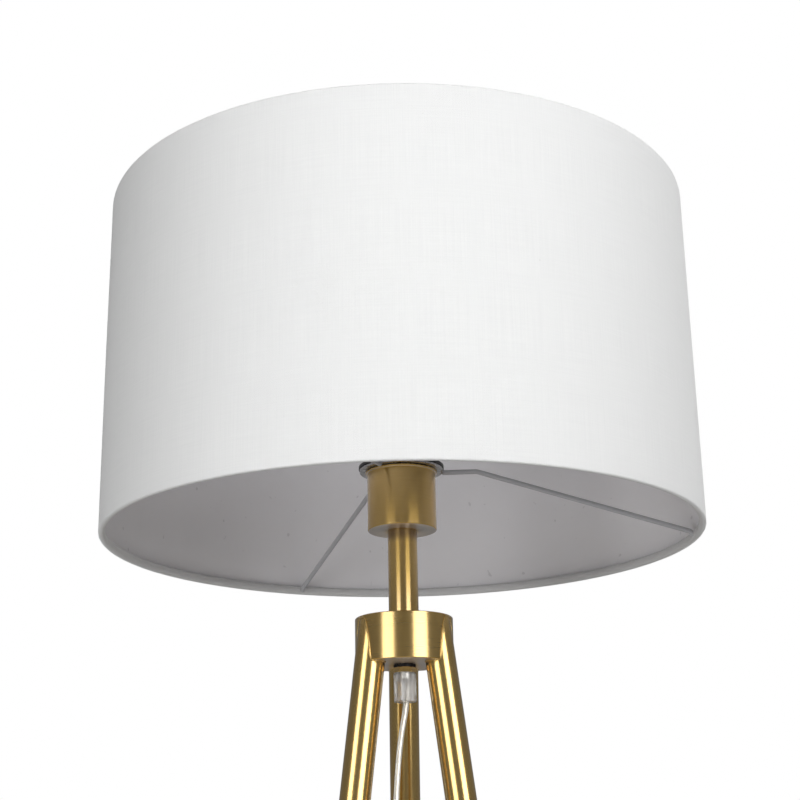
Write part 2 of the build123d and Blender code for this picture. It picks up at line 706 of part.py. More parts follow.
save("hub", hub())
for place, bearing in LEG_BEARINGS.items():
    save(f"leg_upper_{place}", leg_upper(bearing))
    save(f"leg_lower_{place}", leg_lower(bearing))
    save(f"foot_{place}", foot(bearing))
bearings = LEG_BEARINGS.values()
save("upper_leg_inserts", *[leg_insert(b, LEG_LOWER_LENGTH + 0.1) for b in bearings])
save("lower_leg_inserts", *[leg_insert(b, LEG_LOWER_LENGTH - INSERT_LENGTH - 0.1) for b in bearings])
save("leg_studs", *[leg_stud(b) for b in bearings])

save("stem", stem())
save("threaded_pipe", threaded_pipe())
save("hub_washer", hub_washer())
save("hub_nut", hub_nut())
save("strain_relief", strain_relief())
save("relief_screw", relief_screw())

save("socket_cup", socket_cup())
save("cup_washer", cup_washer())
save("cup_nut", cup_nut())
save("holder_cap", holder_cap())
save("holder_body", holder_body())
save("screw_shell", screw_shell())
save("centre_contact", centre_contact())
save("terminal_screws", *[terminal_screw(side) for side in (-1, 1)])
save("inner_leads", *[lead(side) for side in (-1, 1)])
save("ring_nut", ring_nut())

save("bulb_tip", bulb_tip())
save("bulb_insulator", bulb_insulator())
save("bulb_shell", bulb_shell())
save("bulb_housing", bulb_housing())
save("led_board", led_board())
save("bulb_globe", bulb_globe())

spokes = {place: spoke(bearing) for place, bearing in SPOKE_BEARINGS.items()}
hem_bottom = hem(SHADE_BOTTOM, 1)
for bearing in SPOKE_BEARINGS.values():
    hem_bottom -= spoke(bearing, 0.05)
save("shade_fabric", shade_fabric())
save("shade_liner", shade_liner())
save("hem_bottom", hem_bottom)
save("hem_top", hem(SHADE_TOP, -1))
save("wire_ring_bottom", wire_ring(SHADE_BOTTOM + WIRE_INSET))
save("wire_ring_top", wire_ring(SHADE_TOP - WIRE_INSET))
save("fitter_ring", fitter_ring())
for place, wire in spokes.items():
    save(f"spoke_{place}", wire)

save("cord_drop", cord_drop())
save("cord_lead", cord_lead())
save("cord_coil", cord_coil())
save("cord_tail", cord_tail())
save("switch_base", switch_base())
save("switch_cover", switch_cover())
save("switch_button", switch_button())
save("switch_spring", switch_spring())
save("switch_screws", *[switch_screw(side) for side in (-1, 1)])
save("switch_contacts", *[switch_contact(side) for side in (-1, 1)])
save("plug_body", plug_body())
save("plug_blades", *[plug_blade(side) for side in (-1, 1)])
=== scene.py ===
"""Looks of the tripod floor lamp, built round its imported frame. Metres, +Z up, the floor at zero.

The file follows the lamp as it is put together: flex, studio, tripod, stem, lampholder, bulb, shade,
foot switch and plug. Sizes that are written in millimetres are turned to metres by MM.
"""

import math

import bmesh
import bpy
from mathutils import Matrix, Vector, noise


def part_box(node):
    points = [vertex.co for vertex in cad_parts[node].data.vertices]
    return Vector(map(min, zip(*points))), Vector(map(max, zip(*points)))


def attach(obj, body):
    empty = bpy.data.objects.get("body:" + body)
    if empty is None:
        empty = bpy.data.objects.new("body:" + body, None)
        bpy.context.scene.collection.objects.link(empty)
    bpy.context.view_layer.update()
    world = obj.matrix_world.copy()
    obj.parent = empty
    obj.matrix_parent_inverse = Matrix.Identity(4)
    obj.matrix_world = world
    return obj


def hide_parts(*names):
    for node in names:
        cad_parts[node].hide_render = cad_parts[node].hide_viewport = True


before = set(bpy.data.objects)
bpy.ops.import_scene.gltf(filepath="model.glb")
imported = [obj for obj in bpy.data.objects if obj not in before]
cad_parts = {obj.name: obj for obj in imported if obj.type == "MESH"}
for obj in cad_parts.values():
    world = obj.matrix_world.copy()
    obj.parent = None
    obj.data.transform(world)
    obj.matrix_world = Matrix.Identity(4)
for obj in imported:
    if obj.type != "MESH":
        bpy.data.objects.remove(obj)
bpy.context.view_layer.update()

# Camera: a long lens 1.01 m in front of the lamp, a little to its left and lower than its shade. It is
# tipped up to take in the whole drum, and leans by a degree.
MM = 0.001
camera = bpy.data.objects.new("camera", bpy.data.cameras.new("camera"))
camera.data.lens = 68.36
camera.data.sensor_width = 36.0
look_up = Matrix.Rotation(math.radians(90 + 18.086), 4, "X")
look_right = Matrix.Rotation(math.radians(-1.768), 4, "Z")
lean = Matrix.Rotation(math.radians(-1.019), 4, "Z")
camera.matrix_world = Matrix.Translation((-0.03117, -1.01007, 1.03591)) @ look_right @ look_up @ lean
bpy.context.scene.collection.objects.link(camera)
bpy.context.scene.camera = camera
bpy.context.scene.view_settings.view_transform = "Standard"

# Flex: flat clear twin flex, two tinned strands in one soft sheath. It hangs from the strain relief to
# the foot switch, and goes on from there to a put-away coil and the plug.
FLEX_WIDTH = 5.3
FLEX_THICKNESS = 3.3
STRAND_D = 1.5
STRAND_SIDE = 1.22
HANGING_ROUTE = [
    (1.2, 0.0, 1170.5),
    (0.9, -0.1, 1154.5),
    (-2.9, -0.8, 1138.0),
    (-5.9, -1.8, 1113.0),
    (-8.1, -3.2, 1077.0),
    (-9.2, -5.4, 1026.0),
    (-7.6, -8.0, 960.0),
    (-3.2, -10.6, 888.0),
    (2.3, -12.2, 815.0),
    (5.8, -12.4, 741.0),
    (4.9, -10.8, 666.0),
    (-0.6, -8.6, 591.0),
    (-8.2, -7.4, 516.0),
    (-15.1, -8.2, 441.0),
    (-19.6, -11.8, 367.0),
    (-22.8, -16.6, 294.0),
    (-28.4, -21.4, 223.0),
    (-36.2, -25.6, 157.0),
    (-42.6, -28.2, 99.0),
    (-44.6, -27.6, 56.0),
    (-37.4, -23.0, 25.0),
    (-20.0, -12.6, 8.2),
    (4.0, 1.4, 3.2),
    (27.0, 15.8, 4.6),
    (43.6, 25.2, 6.8),
    (58.0, 33.5, 7.0),
]
TO_COIL_ROUTE = [
    (106.5, 61.5, 7.0),
    (127.2, 73.4, 6.5),
    (147.0, 85.6, 2.9),
    (167.6, 101.0, 2.9),
    (182.4, 121.4, 2.9),
]
TO_PLUG_ROUTE = [
    (137.6, 188.5, 7.6),
    (125.0, 184.2, 5.8),
    (113.4, 177.6, 4.9),
    (101.6, 172.1, 7.4),
    (85.0, 172.0, 7.5),
]
COIL_CENTRE = (150.0, 150.0)
COIL_OUTER = 38.7
COIL_INNER = 22.5
COIL_LOW = 2.9
COIL_HIGH = 8.3
TURN_POINTS = 14


class Wire:
    """One output socket among a finish's nodes. Arithmetic on it adds Math nodes to the same finish."""

    def __init__(self, tree, socket=None):
        self.tree = tree
        self.socket = socket

    def node(self, kind, settings=None, values=None, output=0):
        """A new node's output. Its settings are set first, then the values or links of its sockets."""
        made = self.tree.nodes.new("ShaderNode" + kind)
        for name, setting in (settings or {}).items():
            setattr(made, name, setting)
        for name, value in (values or {}).items():
            if isinstance(value, Wire):
                self.tree.links.new(value.socket, made.inputs[name])
            else:
                made.inputs[name].default_value = value
        return Wire(self.tree, made.outputs[output])

    def output(self, number):
        """Another output of the same node."""
        return Wire(self.tree, self.socket.node.outputs[number])

    def math(self, operation, first, second=0.0):
        return self.node("Math", {"operation": operation}, {0: first, 1: second})

    def __add__(self, other):
        return self.math("ADD", self, other)

    def __radd__(self, other):
        return self.math("ADD", other, self)

    def __sub__(self, other):
        return self.math("SUBTRACT", self, other)

    def __rsub__(self, other):
        return self.math("SUBTRACT", other, self)

    def __mul__(self, other):
        return self.math("MULTIPLY", self, other)

    def __rmul__(self, other):
        return self.math("MULTIPLY", other, self)


def new_finish(name, constants):
    """A finish and the wire that its nodes start from. The constants are its shader's own sockets."""
    finish = bpy.data.materials.new(name)
    finish.use_nodes = True
    shader = finish.node_tree.nodes["Principled BSDF"]
    for socket, value in constants.items():
        shader.inputs[socket].default_value = value
    return finish, Wire(finish.node_tree)


def feed(finish, **wires):
    """Links what changes over the surface: colour, roughness or bump to the finish's shader."""
    sockets = {"colour": "Base Color", "roughness": "Roughness", "bump": "Normal"}
    shader = finish.node_tree.nodes["Principled BSDF"]
    for name, wire in wires.items():
        finish.node_tree.links.new(wire.socket, shader.inputs[sockets[name]])


OWN_PLACE = 3


def grain(wire, sizes, turn=(0, 0, 0), place=(0, 0, 0), detail=2.0):
    """Noise from 0 to 1 in the piece's own coordinates: sizes are its blobs, in millimetres, each way."""
    own = wire.node("TexCoord", output=OWN_PLACE)
    scale = [size * MM for size in sizes]
    placed = wire.node("Mapping", {"vector_type": "TEXTURE"},
                       {"Vector": own, "Location": place, "Rotation": turn, "Scale": scale})
    return wire.node("TexNoise", None, {"Vector": placed, "Scale": 1.0, "Detail": detail})


def shades(wire, share, first, second):
    """A colour between two, by a share from 0 to 1. The first can vary over the surface too."""
    if not isinstance(first, Wire):
        first = (*first, 1)
    return wire.node("Mix", {"data_type": "RGBA"}, {0: share, 6: first, 7: (*second, 1)}, output=2)


def bump(wire, height, depth):
    """A bump whose full height is a depth in millimetres."""
    return wire.node("Bump", None, {"Strength": 1.0, "Distance": depth * MM, "Height": height})


def piece(name, mesh, body, finish, replaces=()):
    """A mesh made a piece that rides on a body and takes the finish it is given."""
    mesh.name = name
    mesh.shade_smooth()
    mesh.materials.clear()
    mesh.materials.append(finish)
    thing = bpy.data.objects.new(name, mesh)
    bpy.context.scene.collection.objects.link(thing)
    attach(thing, body)
    if replaces:
        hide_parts(*replaces)
    return thing


def flex_line(name, points, tilts):
    """The flex's own line: a smooth spline whose control points are the route's, in millimetres."""
    line = bpy.data.curves.new(name, "CURVE")
    line.dimensions = "3D"
    spline = line.splines.new("NURBS")
    spline.points.add(len(points) - 1)
    for control, point, tilt in zip(spline.points, points, tilts):
        control.co = (*[c * MM for c in point], 1)
        control.tilt = math.radians(tilt)
    spline.order_u = 3
    spline.use_endpoint_u = True
    spline.resolution_u = 8
    return line


def along(line):
    """The points of a line as its spline gives them."""
    holder = bpy.data.objects.new("bare_line", line.copy())
    mesh = bpy.data.meshes.new_from_object(holder)
    points = [v.co.copy() for v in mesh.vertices]
    bpy.data.meshes.remove(mesh)
    bpy.data.curves.remove(holder.data)
    return points


def drawn(line, outlines):
    """A mesh of closed outlines, in metres across the line, drawn along it."""
    section = bpy.data.curves.new("section", "CURVE")
    for outline in outlines:
        ring = section.splines.new("POLY")
        ring.points.add(len(outline) - 1)
        for control, (x, y) in zip(ring.points, outline):
            control.co = (x, y, 0, 1)
        ring.use_cyclic_u = True
    die = bpy.data.objects.new("die", section)
    line.bevel_mode = "OBJECT"
    line.bevel_object = die
    line.use_fill_caps = True
    holder = bpy.data.objects.new("drawn_line", line)
    for thing in (die, holder):
        bpy.context.scene.collection.objects.link(thing)
    bpy.context.view_layer.update()
    mesh = bpy.data.meshes.new_from_object(holder.evaluated_get(bpy.context.evaluated_depsgraph_get()))
    bpy.data.objects.remove(holder)
    bpy.data.curves.remove(section)
    bm = bmesh.new()
    bm.from_mesh(mesh)
    bmesh.ops.remove_doubles(bm, verts=bm.verts, dist=1e-6)
    bmesh.ops.recalc_face_normals(bm, faces=bm.faces)
    bm.to_mesh(mesh)
    bm.free()
    return mesh


def circle(radius, centre=0.0, points=12):
    """A round outline in metres, from a radius and a sideways place in millimetres."""
    turns = [2 * math.pi * i / points for i in range(points)]
    return [((centre + radius * math.cos(t)) * MM, radius * math.sin(t) * MM) for t in turns]


def sheath_outline(points=28):
    """The flat sheath's outline: half-round edges and a shallow groove along each flat."""
    side = (FLEX_WIDTH - FLEX_THICKNESS) / 2
    outline = []
    for i in range(points):
        turn = 2 * math.pi * i / points
        x = side * math.tanh(3 * math.cos(turn)) + FLEX_THICKNESS / 2 * math.cos(turn)
        groove = 1 - 0.16 * math.exp(-((x / 0.7) ** 2))
        y = FLEX_THICKNESS / 2 * math.sin(turn) * groove
        outline.append((x * MM, y * MM))
    return outline


def coil_points():
    """The coil's turns: inwards along the floor, up a layer, and outwards on top of themselves."""
    points = []
    for layer, turns, height in ((0, 3.5, COIL_LOW), (1, 3.75, COIL_HIGH)):
        count = round(turns * TURN_POINTS)
        for i in range(count + layer):
            share = i / count
            inwards = share if layer == 0 else 1 - share
            loose = 0.5 * math.sin(2.3 * i + layer)
            radius = COIL_OUTER + (COIL_INNER - COIL_OUTER) * inwards + loose * math.sin(math.pi * share)
            turn = 2 * math.pi * (turns * share + 3.5 * layer)
            climb = COIL_LOW + (COIL_HIGH - COIL_LOW) * min(1, i / 5) if layer else height
            x = COIL_CENTRE[0] + radius * math.cos(turn)
            y = COIL_CENTRE[1] + radius * math.sin(turn)
            points.append((x, y, climb))
    return points


clear_sheath, wire = new_finish("clear_flex_sheath", {
    "Transmission Weight": 0.93, "IOR": 1.5, "Base Color": (0.93, 0.93, 0.91, 1)})
haze = grain(wire, (6, 6, 6))
feed(clear_sheath, roughness=0.06 + 0.14 * haze, bump=bump(wire, grain(wire, (2.5, 2.5, 4)), 0.05))
tinned_strand, wire = new_finish("tinned_strands", {"Metallic": 1.0})
lay = grain(wire, (0.25, 0.25, 0.9), turn=(0.5, 0, 0.4))
feed(tinned_strand, colour=shades(wire, lay, (0.6, 0.56, 0.48), (0.93, 0.91, 0.86)),
     roughness=0.24 + 0.2 * lay, bump=bump(wire, lay, 0.08))

coil = coil_points()
to_plug = [*TO_COIL_ROUTE, *coil, *TO_PLUG_ROUTE]
edge_on = [0, 20, 45, 70, 90] + [90] * len(coil) + [75, 55, 35, 15, 0]
lay_flat = [60 * i / (len(HANGING_ROUTE) - 1) for i in range(len(HANGING_ROUTE))]
strands = [circle(STRAND_D / 2, side * STRAND_SIDE) for side in (-1, 1)]
for name, route, tilts, nodes in (
    ("flex_hanging", HANGING_ROUTE, lay_flat, ["cord_drop"]),
    ("flex_put_away", to_plug, edge_on, ["cord_lead", "cord_coil", "cord_tail"]),
):
    line = flex_line(name, route, tilts)
    path = along(line)
    sheath = piece(name, drawn(line, [sheath_outline()]), "stand", clear_sheath, nodes)
    core = piece(name + "_strands", drawn(line, strands), "stand", tinned_strand)

# Studio: a pale floor and white behind the lamp. Two tall boxes light the metal only. Four others light
# the cloth only: the strongest are high on the right, and a bright wall stands behind on the right.
FLOOR_SIZE = 12.0
BOX_DISTANCE = 1.6
WHITE_BEHIND = 1.0
WALL_FRONT_LEFT = 0.04
WALL_BACK_RIGHT = 1.05
WALL_IN_METAL = 0.155


def soft_box(name, bearing, low, high, width, radiance, for_metal):
    """An upright lamp facing the lamp's axis: its bearing is from straight ahead, to the right."""
    data = bpy.data.lights.new(name, "AREA")
    data.shape = "RECTANGLE"
    data.size = width
    data.size_y = high - low
    data.energy = radiance * math.pi * width * (high - low)
    box = bpy.data.objects.new(name, data)
    angle = math.radians(bearing)
    place = Vector((BOX_DISTANCE * math.sin(angle), -BOX_DISTANCE * math.cos(angle), (low + high) / 2))
    turned = Matrix.Rotation(angle, 4, "Z") @ Matrix.Rotation(math.radians(90), 4, "X")
    box.matrix_world = Matrix.Translation(place) @ turned
    box.visible_glossy = for_metal
    box.visible_diffuse = not for_metal
    bpy.context.scene.collection.objects.link(box)


soft_box("metal_strip_left", -39.5, 1.0, 2.4, 0.78, 3.1, for_metal=True)
soft_box("metal_strip_right", 36.5, 1.0, 2.4, 0.92, 3.9, for_metal=True)
soft_box("cloth_box_left_low", -41.8, 0.3, 1.15, 0.80, 3.6, for_metal=False)
soft_box("cloth_box_front_high", -27.0, 1.15, 2.3, 0.80, 3.4, for_metal=False)
soft_box("cloth_box_right_high", 34.5, 1.15, 2.3, 0.84, 5.7, for_metal=False)
soft_box("cloth_box_right_low", 34.5, 0.3, 1.15, 0.84, 0.7, for_metal=False)

world = bpy.data.worlds.new("studio_white")
world.use_nodes = True
sky = Wire(world.node_tree)
direction = sky.node("SeparateXYZ", None, {0: sky.node("TexCoord")})


def fade(wire, value, start, end, most=1.0):
    """Goes smoothly from 0 at start to most at end."""
    limits = {0: value, 1: start, 2: end, 3: 0.0, 4: most}
    return wire.node("MapRange", {"interpolation_type": "SMOOTHSTEP"}, limits)


on_right = fade(sky, direction, -0.2, 0.2)
at_back = fade(sky, direction.output(1), -0.15, 0.25)
walls = WALL_BACK_RIGHT * (on_right * at_back) + WALL_FRONT_LEFT * ((1 - on_right) * (1 - at_back))
ray = sky.node("LightPath")
in_metal = ray.output("Is Glossy Ray")
seen = sky.math("MAXIMUM", ray, ray.output("Is Transmission Ray"))
walls = walls + (WALL_IN_METAL - walls) * in_metal
strength = walls + (WHITE_BEHIND - walls) * seen
background = world.node_tree.nodes["Background"]
background.inputs["Color"].default_value = (1, 1, 1, 1)
world.node_tree.links.new(strength.socket, background.inputs["Strength"])
bpy.context.scene.world = world

ground = bmesh.new()
bmesh.ops.create_grid(ground, x_segments=1, y_segments=1, size=FLOOR_SIZE / 2)
floor_mesh = bpy.data.meshes.new("floor")
ground.to_mesh(floor_mesh)
ground.free()
pale_floor, wire = new_finish("pale_floor", {})
cloud = grain(wire, (400, 400, 400), detail=5.0)
floor_grey = shades(wire, cloud, (0.62, 0.615, 0.61), (0.68, 0.675, 0.67))
feed(pale_floor, colour=floor_grey, roughness=0.5 + 0.2 * cloud)
floor_mesh.materials.append(pale_floor)
floor = bpy.data.objects.new("floor", floor_mesh)
bpy.context.scene.collection.objects.link(floor)

# Tripod: three brass tubes stand in a turned brass hub, brazed round their edges. Each leg is two tubes
# with a screwed joint half way up, and ends in a black rubber foot. All brass is satin and lacquered.
HUB_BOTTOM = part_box("hub")[0].z / MM
HUB_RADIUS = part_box("hub")[1].x / MM
SPLAY = math.radians(7.7)
LEG_RADIUS = 10.0
LEG_RADIUS_AT_HUB = 26.9
LEG_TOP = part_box("leg_upper_rear")[1].z / MM
LEG_BEARINGS = {"rear": 90.0, "left": 210.0, "right": 330.0}
BRAZE_RADIUS = 0.62
BRAZE_POINTS = 72
BRASS_DARK = (0.72, 0.432, 0.09)
BRASS_LIGHT = (0.86, 0.585, 0.16)
# Paler, greyer brass painted on faces that look down: a painted reflection of the pale floor and lining.
PAINTED_UNDERSIDE_REFLECTION = (0.86, 0.74, 0.62)
# Dark brown painted on a tube's top end: painted shade under the part that overhangs it.
PAINTED_SHADE_COLOUR = (0.3, 0.18, 0.06)
PAINTED_SHADE_FADE = 7.0
OWN_NORMAL = 1


def upwards(wire, source):
    """The Z of the piece's own normal or place, each an output of its texture coordinates."""
    return wire.node("SeparateXYZ", None, {0: wire.node("TexCoord", output=source)}, output=2)


def satin_brass(name, lines, roughness, turn=(0, 0, 0), place=(0, 0, 0), swirl=0.0, depth=0.012,
                painted_reflection_and_dull_below=False, painted_shade_from=None):
    """Lacquered satin brass: lines are the brush marks' sizes in millimetres along the piece's own axes.

    Faces that look down can be rougher, as turned, and painted paler as a painted reflection; a tube can get
    painted shade above a height in millimetres.
    """
    finish, wire = new_finish(name, {"Metallic": 1.0, "Anisotropic": swirl, "Anisotropic Rotation": 0.25,
                                     "Coat Weight": 1.0, "Coat Roughness": 0.2, "Coat IOR": 1.9})
    fine = grain(wire, lines, turn, place)
    broad = grain(wire, [size * 4.5 for size in lines], turn, place)
    smudge = grain(wire, (14, 14, 22))
    marks = 0.6 * fine + 0.4 * broad
    colour = shades(wire, 0.75 * marks + 0.25 * smudge, BRASS_DARK, BRASS_LIGHT)
    rough = roughness - 0.09 + 0.12 * marks + 0.06 * smudge
    # Painted reflection: faces that look down are painted paler and greyer, and are also made rougher.
    if painted_reflection_and_dull_below:
        underside_reflection_and_dullness = fade(wire, upwards(wire, OWN_NORMAL), -0.8, -0.97)
        colour = shades(wire, underside_reflection_and_dullness, colour, PAINTED_UNDERSIDE_REFLECTION)
        rough = rough + 0.12 * underside_reflection_and_dullness
    # Painted shade: the tube is painted darker above the given height, where the part above overhangs it.
    if painted_shade_from:
        start = painted_shade_from * MM
        painted_shade = fade(wire, upwards(wire, OWN_PLACE), start, start + PAINTED_SHADE_FADE * MM, 0.8)
        colour = shades(wire, painted_shade, colour, PAINTED_SHADE_COLOUR)
        rough = rough + 0.15 * painted_shade
    feed(finish, colour=colour, roughness=rough, bump=bump(wire, marks, depth))
    return finish


def dress(finish, *nodes):
    """Gives a finish to CAD nodes whose shape is right as it is."""
    for node in nodes:
        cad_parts[node].material_slots[0].material = finish


# The hub's faces that look down get a painted reflection: paler, greyer brass.
hub_brass = satin_brass("hub_brass", (18, 18, 0.3), 0.29, swirl=0.8, depth=0.0015, painted_reflection_and_dull_below=True)
dress(hub_brass, "hub")
for side, bearing in LEG_BEARINGS.items():
    angle = math.radians(bearing)
    reach = (LEG_RADIUS_AT_HUB + HUB_BOTTOM * math.tan(SPLAY)) * MM
    stand_point = (reach * math.cos(angle), reach * math.sin(angle), 0)
    leg_brass = satin_brass("leg_brass_" + side, (0.3, 0.3, 26), 0.2, (0, -SPLAY, angle), stand_point)
    dress(leg_brass, "leg_upper_" + side, "leg_lower_" + side)


def bead_point(bearing, turn):
    """A point on a leg's surface where it leaves the hub, in millimetres: turn is round the leg."""
    out = Vector((math.cos(bearing), math.sin(bearing), 0))
    aside = Vector((-out.y, out.x, 0))
    outwards = LEG_RADIUS * math.cos(turn)
    sideways = LEG_RADIUS * math.sin(turn)
    edge_radius = math.sqrt(HUB_RADIUS ** 2 - sideways ** 2) - outwards * math.cos(SPLAY)
    height = HUB_BOTTOM + (LEG_RADIUS_AT_HUB - edge_radius) / math.tan(SPLAY) + outwards * math.sin(SPLAY)
    height = max(HUB_BOTTOM, min(LEG_TOP, height))
    axis_height = height - outwards * math.sin(SPLAY)
    axis_radius = LEG_RADIUS_AT_HUB - (axis_height - HUB_BOTTOM) * math.tan(SPLAY)
    centre = out * axis_radius + Vector((0, 0, axis_height))
    return centre + (out * math.cos(SPLAY) + Vector((0, 0, math.sin(SPLAY)))) * outwards + aside * sideways


beads = bpy.data.curves.new("beads", "CURVE")
beads.dimensions = "3D"
for bearing in LEG_BEARINGS.values():
    ring = beads.splines.new("POLY")
    ring.points.add(BRAZE_POINTS - 1)
    for i, control in enumerate(ring.points):
        point = bead_point(math.radians(bearing), 2 * math.pi * i / BRAZE_POINTS)
        control.co = (*(point * MM), 1)
        control.radius = 1 + 0.35 * noise.noise(point * 0.35)
    ring.use_cyclic_u = True
beads.bevel_depth = BRAZE_RADIUS * MM
beads.bevel_resolution = 3
bead_mesh = bpy.data.meshes.new_from_object(bpy.data.objects.new("bead_line", beads))
braze_brass = satin_brass("braze_brass", (1.6, 1.6, 1.6), 0.26)
piece("braze_beads", bead_mesh, "stand", braze_brass)

foot_rubber, wire = new_finish("foot_rubber", {"IOR": 1.5})
pores = grain(wire, (0.6, 0.6, 0.6), detail=3.0)
feed(foot_rubber, colour=shades(wire, pores, (0.012, 0.012, 0.013), (0.03, 0.03, 0.031)),
     roughness=0.62 + 0.2 * pores, bump=bump(wire, pores, 0.05))
dress(foot_rubber, "foot_rear", "foot_left", "foot_right")

zinc, wire = new_finish("zinc_plate", {"Metallic": 1.0})
patches = grain(wire, (1.5, 1.5, 1.5), detail=4.0)
feed(zinc, colour=shades(wire, patches, (0.52, 0.52, 0.5), (0.72, 0.72, 0.7)),
     roughness=0.3 + 0.25 * patches, bump=bump(wire, patches, 0.02))
dress(zinc, "upper_leg_inserts", "lower_leg_inserts", "leg_studs")

# Stem: a short brass tube clamped between hub and cup by the threaded pipe inside it. Its top end, just
# under the cup, is painted darker as painted shade. Under the hub the pipe takes a black washer, a brass nut
# and the clear strain relief that grips the flex.
STEM_PAINTED_SHADE_HEIGHT = 1262
stem_brass = satin_brass("stem_brass", (12, 12, 0.4), 0.30, swirl=0.95, depth=0.0006,
                         painted_shade_from=STEM_PAINTED_SHADE_HEIGHT)
dress(stem_brass, "stem")
dress(zinc, "threaded_pipe")
turned_brass = satin_brass("turned_brass", (2.5, 2.5, 0.2), 0.2)
dress(turned_brass, "hub_nut")
black_steel, wire = new_finish("black_steel", {"Metallic": 0.6})
oxide = grain(wire, (0.8, 0.8, 0.8), detail=4.0)
feed(black_steel, colour=shades(wire, oxide, (0.012, 0.012, 0.012), (0.04, 0.04, 0.042)),
     roughness=0.34 + 0.2 * oxide, bump=bump(wire, oxide, 0.03))
dress(black_steel, "hub_washer")
clear_plastic, wire = new_finish("clear_moulding", {
    "Transmission Weight": 0.86, "IOR": 1.36, "Base Color": (0.80, 0.79, 0.78, 1)})
flow = grain(wire, (3, 3, 7))
feed(clear_plastic, roughness=0.3 + 0.15 * flow, bump=bump(wire, flow, 0.02))
dress(clear_plastic, "strain_relief", "relief_screw")
lead_skin, wire = new_finish("lead_skin", {"IOR": 1.48})
tone = grain(wire, (3, 3, 12))
feed(lead_skin, colour=shades(wire, tone, (0.62, 0.6, 0.54), (0.78, 0.76, 0.7)),
     roughness=0.3 + 0.15 * tone)
dress(lead_skin, "inner_leads")

# Lampholder: a spun brass cup hides a black holder. The shade's ring sits on the cup's lip, and a black
# ring nut on the holder's thread clamps it. The screw shell is aluminium, and the contacts are brass.
CUP_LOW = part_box("socket_cup")[0].z / MM
CUP_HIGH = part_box("socket_cup")[1].z / MM
CUP_RADIUS = 23.5
CUP_WALL = 1.0
CUP_HOLE_RADIUS = 5.1
CUP_CORNER = 1.0
CUP_NECK = 0.15
LIP_RADIUS = 24.7
BEAD_RADIUS = 0.65
HOLDER_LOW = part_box("holder_body")[0].z / MM
HOLDER_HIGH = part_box("holder_body")[1].z / MM
HOLDER_RADIUS = 19.6
HOLDER_BORE_RADIUS = 15.0
HOLDER_FLOOR = 3.0
THREAD_PITCH = 2.0
THREAD_DEPTH = 0.45


def spun(profile, steps, closed):
    """A profile of (radius, height) in millimetres, spun about the lamp's axis."""
    bm = bmesh.new()
    corners = [bm.verts.new((radius * MM, 0, height * MM)) for radius, height in profile]
    pairs = list(zip(corners, corners[1:]))
    if closed:
        pairs.append((corners[-1], corners[0]))
    edges = [bm.edges.new(pair) for pair in pairs]
    bmesh.ops.spin(bm, geom=corners + edges, cent=(0, 0, 0), axis=(0, 0, 1), angle=2 * math.pi, steps=steps,
                   use_merge=True)
    bmesh.ops.remove_doubles(bm, verts=bm.verts, dist=1e-6)
    bmesh.ops.recalc_face_normals(bm, faces=bm.faces)
    return bm


def mesh_of(bm, name):
    """The finished mesh of a bmesh."""
    mesh = bpy.data.meshes.new(name)
    bm.to_mesh(mesh)
    bm.free()
    return mesh


def arc(radius, height, size, start, end, points):
    """Part of a round corner in a profile: its centre, its size, and where it starts and ends."""
    turns = [math.radians(start + (end - start) * i / (points - 1)) for i in range(points)]
    return [(radius + size * math.cos(turn), height + size * math.sin(turn)) for turn in turns]


# The cup's faces that look down get a painted reflection: paler, greyer brass.
cup_brass = satin_brass("cup_brass", (20, 20, 0.3), 0.34, swirl=0.9, depth=0.001, painted_reflection_and_dull_below=True)
cup_profile = [(CUP_HOLE_RADIUS, CUP_LOW)]
cup_profile += arc(CUP_RADIUS - CUP_CORNER, CUP_LOW + CUP_CORNER, CUP_CORNER, -90, 0, 6)
cup_profile += [(CUP_RADIUS, CUP_HIGH - 2.4), (CUP_RADIUS - CUP_NECK, CUP_HIGH - 2.0),
                (CUP_RADIUS - CUP_NECK, CUP_HIGH - 1.5)]
cup_profile += arc(LIP_RADIUS - BEAD_RADIUS, CUP_HIGH - BEAD_RADIUS, BEAD_RADIUS, -110, 90, 9)
cup_profile += [(CUP_RADIUS - CUP_WALL, CUP_HIGH), (CUP_RADIUS - CUP_WALL, CUP_LOW + CUP_WALL),
                (CUP_HOLE_RADIUS, CUP_LOW + CUP_WALL)]
spun_cup = mesh_of(spun(cup_profile, 128, closed=True), "spun_cup")
piece("spun_cup", spun_cup, "stand", cup_brass, ["socket_cup"])
dress(zinc, "cup_washer")
dress(turned_brass, "cup_nut", "centre_contact", "terminal_screws")


def moulding(name, dark, light, roughness, texture=0.4):
    """A moulded plastic with a fine spark-eroded texture, in millimetres."""
    finish, wire = new_finish(name, {"IOR": 1.5})
    pits = grain(wire, (texture, texture, texture), detail=3.0)
    sheen = grain(wire, (9, 9, 9))
    feed(finish, colour=shades(wire, 0.5 * pits + 0.5 * sheen, dark, light),
         roughness=roughness + 0.12 * pits + 0.06 * sheen, bump=bump(wire, pits, 0.03))
    return finish


